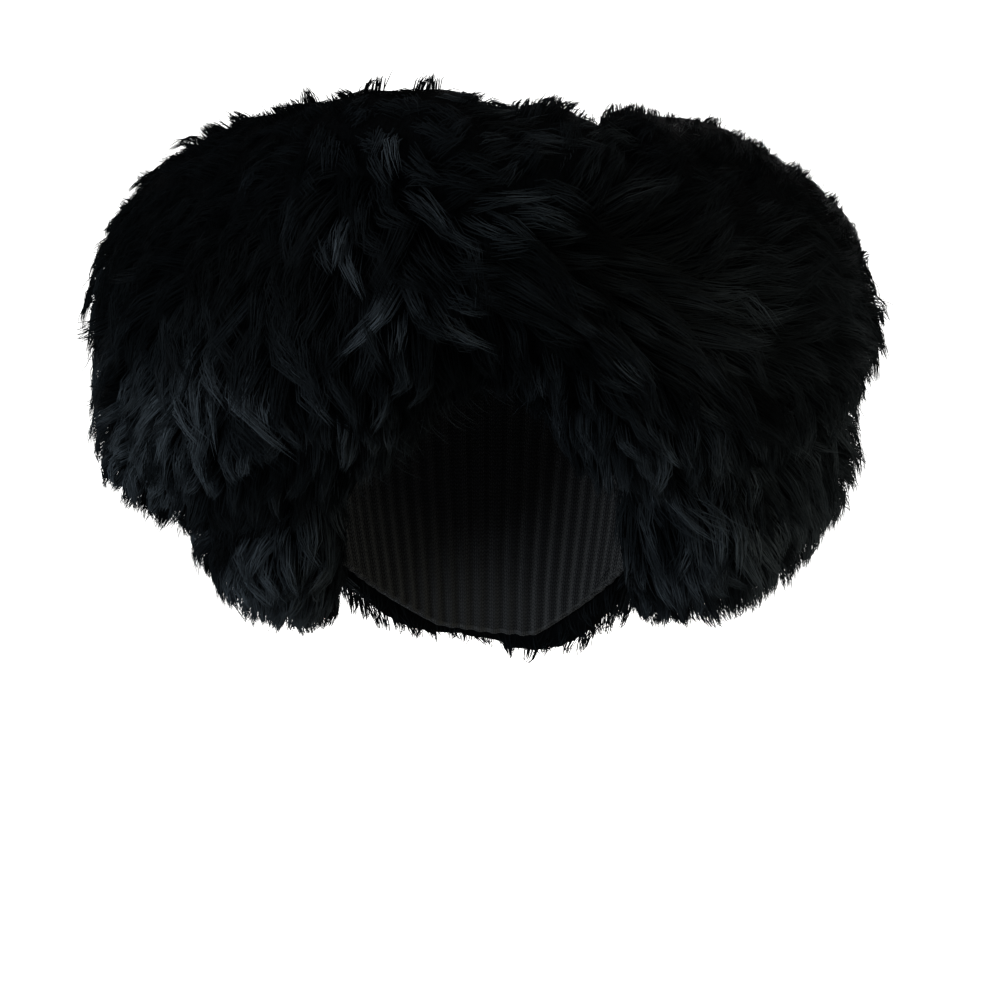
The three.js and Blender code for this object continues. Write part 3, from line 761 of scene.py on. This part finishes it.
def fur_material(name, dark, mid, light):
    """Pile: near black, greyer towards the tips and in the locks that catch
    light, with the fine streaks of single hairs along every strand."""
    m, nt, b = mat_new(name)
    ln = nt.links.new
    at = {k: node(nt, "ShaderNodeAttribute", attribute_name=k).outputs["Fac"] for k in ("tone", "along", "around", "own")}

    def op(kind, a, b_=None, c=None):
        x = node(nt, "ShaderNodeMath", operation=kind)
        for sock, val in zip(x.inputs, (a, b_, c)):
            if val is None:
                continue
            if isinstance(val, (int, float)):
                sock.default_value = val
            else:
                ln(val, sock)
        return x.outputs[0]

    vec = node(nt, "ShaderNodeCombineXYZ")
    ln(op("MULTIPLY", at["around"], 3.0), vec.inputs[0])
    ln(op("MULTIPLY", at["along"], 1.6), vec.inputs[1])
    ln(op("MULTIPLY", at["own"], 173.0), vec.inputs[2])
    streak = node(nt, "ShaderNodeTexNoise")
    streak.inputs["Scale"].default_value = 1.0
    streak.inputs["Detail"].default_value = 4.0
    streak.inputs["Roughness"].default_value = 0.65
    ln(vec.outputs[0], streak.inputs["Vector"])
    reach = node(nt, "ShaderNodeMapRange")
    reach.inputs["From Min"].default_value = 0.2
    reach.inputs["From Max"].default_value = 0.9
    reach.inputs["To Min"].default_value = 0.35
    reach.inputs["To Max"].default_value = 1.0
    ln(at["along"], reach.inputs["Value"])
    lit = op("MULTIPLY", at["tone"], reach.outputs["Result"])
    fac = op("MULTIPLY", lit, op("MULTIPLY_ADD", streak.outputs["Fac"], 1.3, 0.35))
    ramp = node(nt, "ShaderNodeValToRGB")
    e = ramp.color_ramp.elements
    e[0].position, e[0].color = 0.0, (*dark, 1)
    e[1].position, e[1].color = 1.0, (*light, 1)
    x = ramp.color_ramp.elements.new(0.4)
    x.color = (*mid, 1)
    ln(fac, ramp.inputs["Fac"])
    ln(ramp.outputs["Color"], b.inputs["Base Color"])
    b.inputs["Roughness"].default_value = 0.50
    b.inputs["Specular IOR Level"].default_value = 0.009
    return m


def core_material():
    m, nt, b = mat_new("underfur")
    ln = nt.links.new
    geo = node(nt, "ShaderNodeTexCoord")
    mp = node(nt, "ShaderNodeMapping")
    mp.inputs["Scale"].default_value = (1.0, 1.0, 0.22)
    ln(geo.outputs["Object"], mp.inputs["Vector"])
    n1 = node(nt, "ShaderNodeTexNoise")
    n1.inputs["Scale"].default_value = 520.0
    n1.inputs["Detail"].default_value = 6.0
    ln(mp.outputs["Vector"], n1.inputs["Vector"])
    ramp = node(nt, "ShaderNodeValToRGB")
    e = ramp.color_ramp.elements
    e[0].position, e[0].color = 0.35, (0.0003, 0.0004, 0.0005, 1)
    e[1].position, e[1].color = 0.8, (0.0010, 0.0012, 0.0014, 1)
    ln(n1.outputs["Fac"], ramp.inputs["Fac"])
    ln(ramp.outputs["Color"], b.inputs["Base Color"])
    bump = node(nt, "ShaderNodeBump")
    bump.inputs["Strength"].default_value = 0.8
    bump.inputs["Distance"].default_value = 0.003
    ln(n1.outputs["Fac"], bump.inputs["Height"])
    ln(bump.outputs["Normal"], b.inputs["Normal"])
    b.inputs["Roughness"].default_value = 0.85
    b.inputs["Specular IOR Level"].default_value = 0.01
    return m


def knit_material():
    """Rib knit: columns of V stitches, dull slightly hairy yarn."""
    m, nt, b = mat_new("rib_knit")
    ln = nt.links.new
    col = node(nt, "ShaderNodeAttribute", attribute_name="stitch_col")
    row = node(nt, "ShaderNodeAttribute", attribute_name="stitch_row")
    rib = node(nt, "ShaderNodeAttribute", attribute_name="rib")

    def op(kind, a, b_=None, c=None):
        x = node(nt, "ShaderNodeMath", operation=kind)
        for sock, val in zip(x.inputs, (a, b_, c)):
            if val is None:
                continue
            if isinstance(val, (int, float)):
                sock.default_value = val
            else:
                ln(val, sock)
        return x.outputs[0]

    geo = node(nt, "ShaderNodeTexCoord")
    wob = node(nt, "ShaderNodeTexNoise")
    wob.inputs["Scale"].default_value = 160.0
    ln(geo.outputs["Object"], wob.inputs["Vector"])
    shift = op("MULTIPLY_ADD", wob.outputs["Fac"], 0.30, -0.15)
    stitches = op("MULTIPLY_ADD", col.outputs["Fac"], 4.0, shift)      # four stitches a rib
    pp = op("PINGPONG", stitches, 0.5)                                 # 0 at a stitch's edges, 0.5 in its middle
    leg = op("SINE", op("MULTIPLY", pp, 2 * math.pi))
    rows = op("MULTIPLY_ADD", row.outputs["Fac"], 1 / 2.0, shift)      # rows 2 mm high
    slant = op("MULTIPLY_ADD", pp, 1.5, rows)
    loop = op("COSINE", op("MULTIPLY", slant, 2 * math.pi))
    body = op("MULTIPLY_ADD", loop, 0.42, 0.58)
    h = op("MULTIPLY", leg, body)
    fib = node(nt, "ShaderNodeTexNoise")
    fib.inputs["Scale"].default_value = 1400.0
    fib.inputs["Detail"].default_value = 4.0
    ln(geo.outputs["Object"], fib.inputs["Vector"])
    height = op("MULTIPLY_ADD", fib.outputs["Fac"], 0.35, h)
    bump = node(nt, "ShaderNodeBump")
    bump.inputs["Strength"].default_value = 1.0
    bump.inputs["Distance"].default_value = 0.0008
    ln(height, bump.inputs["Height"])
    ln(bump.outputs["Normal"], b.inputs["Normal"])
    # painted shade: the yarn is darker in the recesses of the ribs and between the stitches
    shade = op("MULTIPLY_ADD", rib.outputs["Fac"], 0.22, height)
    ramp = node(nt, "ShaderNodeValToRGB")
    e = ramp.color_ramp.elements
    e[0].position, e[0].color = 0.05, (0.0013, 0.0014, 0.0016, 1)
    e[1].position, e[1].color = 1.0, (0.0088, 0.0094, 0.0104, 1)
    ln(shade, ramp.inputs["Fac"])
    ln(ramp.outputs["Color"], b.inputs["Base Color"])
    b.inputs["Roughness"].default_value = 0.85
    b.inputs["Specular IOR Level"].default_value = 0.08
    b.inputs["Sheen Weight"].default_value = 0.05
    b.inputs["Sheen Roughness"].default_value = 0.5
    return m


# ------------------------------------------------------------- knit cap
def knit_cap():
    """The cap as ribs of knitting, inside and out, with a rolled edge."""
    ribs, per = 60, 8
    na = ribs * per
    az = -180 + 360 * np.arange(na) / na
    phi = np.radians(az)
    rt = np.array(RIM, float)
    zr = np.interp(az, rt[:, 0], rt[:, 1])
    k = 21
    ker = np.hanning(k)
    ker /= ker.sum()
    zr = np.convolve(np.concatenate([zr[-k:], zr, zr[:k]]), ker, "same")[k:-k]

    def run_of(z, g):
        drop = CROWN_DROP + g
        return np.where(z > -CROWN_DROP, np.arccos(np.clip((z + CROWN_DROP) / drop, -1, 1)) * drop,
                        math.pi / 2 * drop - CROWN_DROP - z)

    def z_of(run, g):
        drop = CROWN_DROP + g
        dome = math.pi / 2 * drop
        return np.where(run <= dome, -CROWN_DROP + drop * np.cos(np.minimum(run, dome) / drop),
                        -CROWN_DROP - (run - dome))

    def relief(run):
        """-1..1 across a rib; the ribs halve in number towards the crown."""
        w1 = np.clip((run - 62) / 14, 0, 1)
        w2 = np.clip((run - 26) / 12, 0, 1)
        c = [np.cos(m * phi) for m in (60, 30, 15)]
        soft = [np.sign(x) * np.abs(x) ** 0.7 for x in c]
        return w1 * soft[0] + (1 - w1) * (w2 * soft[1] + (1 - w2) * soft[2])

    def skin(steps, inside):
        pts, runs, rel = [], [], []
        g = 0.0 if inside else KNIT
        end = run_of(zr, g)
        for s_ in steps:
            run = end * s_
            z = z_of(run, g)
            hgt = relief(run)
            amp = 1.0 * np.clip(run / 20, 0, 1)
            r = head_radius(az, z, g) + (hgt * amp - 0.3 if not inside else hgt * amp + 0.4)
            pts.append(np.stack([r * np.sin(phi), -r * np.cos(phi), z], 1))
            runs.append(run)
            rel.append(hgt if not inside else -hgt)
        return np.array(pts), np.array(runs), np.array(rel)

    so = np.linspace(0, 1, 29)[1:]
    si = np.linspace(0, 1, 37)[1:]
    Po, Ro, Ho = skin(so, False)
    Pi, Ri, Hi = skin(si, True)
    a, b = Po[-1], Pi[-1]
    mid = (a + b) / 2
    outw = unit(a - b)
    down = np.tile([0, 0, -1.0], (na, 1))
    edge = []
    for th in (25, 65, 90, 115, 155):
        c, s_ = math.cos(math.radians(th)), math.sin(math.radians(th))
        edge.append(mid + outw * (c * 2.7) + down * (s_ * 3.0))
    E = np.array(edge)
    rings = np.concatenate([Po, E, Pi[::-1]])
    runs = np.concatenate([Ro, Ro[-1][None] + np.array([1, 2.5, 4, 5.5, 7])[:, None], Ri[::-1]])
    rel = np.concatenate([Ho, np.tile(0.5 * Ho[-1], (len(E), 1)), Hi[::-1]])
    nr = len(rings)
    V = np.concatenate([[[0, 0, KNIT - 0.3]], rings.reshape(-1, 3), [[0, 0, 0.4]]])
    tip = len(V) - 1
    i = np.arange(na)
    nx = (i + 1) % na
    quads, qcol, qrow = [], [], []
    for j in range(nr - 1):
        s0, s1 = 1 + j * na, 1 + (j + 1) * na
        quads.append(np.stack([s0 + i, s1 + i, s1 + nx, s0 + nx], 1))
        m = runs[j].mean() * 0.5 + runs[j + 1].mean() * 0.5
        cnt = 60 if m > 69 else 30 if m > 32 else 15
        c0, c1 = cnt * i / na, cnt * (i + 1) / na
        qcol.append(np.stack([c0, c0, c1, c1], 1))
        qrow.append(np.stack([runs[j], runs[j + 1], runs[j + 1][nx], runs[j][nx]], 1))
    Q, qcol, qrow = np.concatenate(quads), np.concatenate(qcol), np.concatenate(qrow)
    last = 1 + (nr - 1) * na
    T = np.concatenate([np.stack([0 * i, 1 + i, 1 + nx], 1), np.stack([0 * i + tip, last + nx, last + i], 1)])
    tcol = np.tile(np.stack([15 * (i + 0.5) / na, 15 * i / na, 15 * (i + 1) / na], 1), (2, 1))
    trow = np.concatenate([np.stack([0 * runs[0], runs[0], runs[0]], 1), np.stack([0 * runs[-1], runs[-1], runs[-1]], 1)])
    me = bpy.data.meshes.new("knit_cap_ribs")
    nl = Q.size + T.size
    me.vertices.add(len(V))
    me.vertices.foreach_set("co", (V * MM).astype(np.float32).ravel())
    me.loops.add(nl)
    me.loops.foreach_set("vertex_index", np.concatenate([Q.ravel(), T.ravel()]).astype(np.int32))
    me.polygons.add(len(Q) + len(T))
    me.polygons.foreach_set("loop_start", np.concatenate([np.arange(0, Q.size, 4), Q.size + np.arange(0, T.size, 3)]).astype(np.int32))
    me.polygons.foreach_set("use_smooth", np.full(len(Q) + len(T), True))
    me.update(calc_edges=True)
    for key, q, t_ in (("stitch_col", qcol, tcol), ("stitch_row", qrow, trow)):
        at = me.attributes.new(key, "FLOAT", "CORNER")
        at.data.foreach_set("value", np.concatenate([q.ravel(), t_.ravel()]).astype(np.float32))
    at = me.attributes.new("rib", "FLOAT", "POINT")
    at.data.foreach_set("value", np.concatenate([[0], rel.ravel(), [0]]).astype(np.float32))
    ob = bpy.data.objects.new("knit_cap_ribs", me)
    bpy.context.scene.collection.objects.link(ob)
    return ob


# ---------------------------------------------------------------- camera
cam_data = bpy.data.cameras.new("camera")
cam = bpy.data.objects.new("camera", cam_data)
bpy.context.scene.collection.objects.link(cam)
cam.location = (0.0073, -0.600, 0.0288)
cam.rotation_euler = (math.radians(90 - 15.84), 0, 0)
cam_data.sensor_width = 36.0
cam_data.lens = 47.52
cam_data.clip_start = 0.01
cam_data.dof.use_dof = False
bpy.context.scene.camera = cam

# ------------------------------------------------------------- the pieces
cap = knit_cap()
cap.data.materials.append(knit_material())
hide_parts("knit_cap")
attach(cap, "root")

pile_mat = fur_material("long_pile", (0.0003, 0.0005, 0.0006), (0.0062, 0.0076, 0.0088), (0.0215, 0.0255, 0.0290))
under_mat = core_material()
for nd in PILE:
    FORMS[nd] = outer_form(nd)
    TREES[nd] = BVHTree.FromPolygons([tuple(x) for x in FORMS[nd][0].tolist()], FORMS[nd][1].tolist())
for seed, nd in enumerate(PILE):
    pieces = grow(nd, 100 + 17 * seed)
    for ob in pieces:
        ob.data.materials.append(under_mat if ob.name.endswith("_core") else pile_mat)
        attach(ob, "root")
    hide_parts(nd)

# ------------------------------------------------------------ stage, light
FLOOR = -0.78


def stage_floor():
    """Round studio floor that turns up into a wall all round."""
    prof = [(0.0, 0.0), (1.0, 0.0), (1.6, 0.0)]
    for i in range(1, 13):
        a = math.radians(90 * i / 12)
        prof.append((1.6 + 0.9 * math.sin(a), 0.9 * (1 - math.cos(a))))
    prof.append((2.5, 3.2))
    n = 96
    verts, faces = [(0, 0, FLOOR)], []
    for r, z in prof[1:]:
        for i in range(n):
            a = 2 * math.pi * i / n
            verts.append((r * math.cos(a), r * math.sin(a), FLOOR + z))
    for i in range(n):
        faces.append((0, 1 + i, 1 + (i + 1) % n))
    for j in range(len(prof) - 2):
        for i in range(n):
            a, b = 1 + j * n + i, 1 + j * n + (i + 1) % n
            faces.append((a, a + n, b + n, b))
    me = bpy.data.meshes.new("studio_floor")
    me.from_pydata(verts, [], faces)
    me.polygons.foreach_set("use_smooth", np.full(len(me.polygons), True))
    ob = bpy.data.objects.new("studio_floor", me)
    bpy.context.scene.collection.objects.link(ob)
    m, nt, b = mat_new("pale_floor")
    nz = node(nt, "ShaderNodeTexNoise")
    nz.inputs["Scale"].default_value = 3.0
    rp = node(nt, "ShaderNodeValToRGB")
    rp.color_ramp.elements[0].color = (0.93, 0.90, 0.875, 1)
    rp.color_ramp.elements[1].color = (0.95, 0.92, 0.895, 1)
    nt.links.new(nz.outputs["Fac"], rp.inputs["Fac"])
    nt.links.new(rp.outputs["Color"], b.inputs["Base Color"])
    b.inputs["Roughness"].default_value = 0.9
    b.inputs["Specular IOR Level"].default_value = 0.0
    b.inputs["Emission Color"].default_value = (1, 1, 1, 1)
    tc = node(nt, "ShaderNodeTexCoord")
    flat = node(nt, "ShaderNodeVectorMath", operation="MULTIPLY")
    flat.inputs[1].default_value = (1, 1, 0)
    nt.links.new(tc.outputs["Object"], flat.inputs[0])
    ln = node(nt, "ShaderNodeVectorMath", operation="LENGTH")
    nt.links.new(flat.outputs[0], ln.inputs[0])
    mr = node(nt, "ShaderNodeMapRange")
    mr.inputs["From Min"].default_value = 0.45
    mr.inputs["From Max"].default_value = 1.3
    mr.inputs["To Min"].default_value = 0.52
    mr.inputs["To Max"].default_value = 1.0
    nt.links.new(ln.outputs["Value"], mr.inputs["Value"])
    nt.links.new(mr.outputs["Result"], b.inputs["Emission Strength"])
    me.materials.append(m)
    ob.visible_diffuse = False
    ob.visible_glossy = False
    return ob


floor = stage_floor()

world = bpy.data.worlds.new("studio")
bpy.context.scene.world = world
world.use_nodes = True
bg = world.node_tree.nodes["Background"]
bg.inputs["Color"].default_value = (0.95, 0.98, 1.0, 1)
bg.inputs["Strength"].default_value = 0.40


def area(name, loc, target, size, power, color):
    li = bpy.data.lights.new(name, "AREA")
    li.shape = "DISK"
    li.size = size
    li.energy = power
    li.color = color
    ob = bpy.data.objects.new(name, li)
    bpy.context.scene.collection.objects.link(ob)
    ob.location = loc
    ob.rotation_euler = (Vector(target) - Vector(loc)).to_track_quat("-Z", "Y").to_euler()
    return ob


area("key", (-1.2, -1.2, -0.05), (0, 0, -0.08), 0.9, 37, (0.88, 0.97, 1.04))
area("fill", (1.4, -0.9, -0.05), (0, 0, -0.1), 1.1, 19, (1.08, 1.05, 0.84))
area("top", (0.1, 0.1, 1.5), (0, 0, 0), 1.2, 6, (1.0, 1.0, 1.0))
area("back", (0.3, 1.5, 0.1), (0, 0, -0.1), 1.2, 17, (1.0, 1.0, 1.0))

scene = bpy.context.scene
scene.view_settings.view_transform = "Standard"
scene.view_settings.look = "None"

bpy.context.view_layer.update()
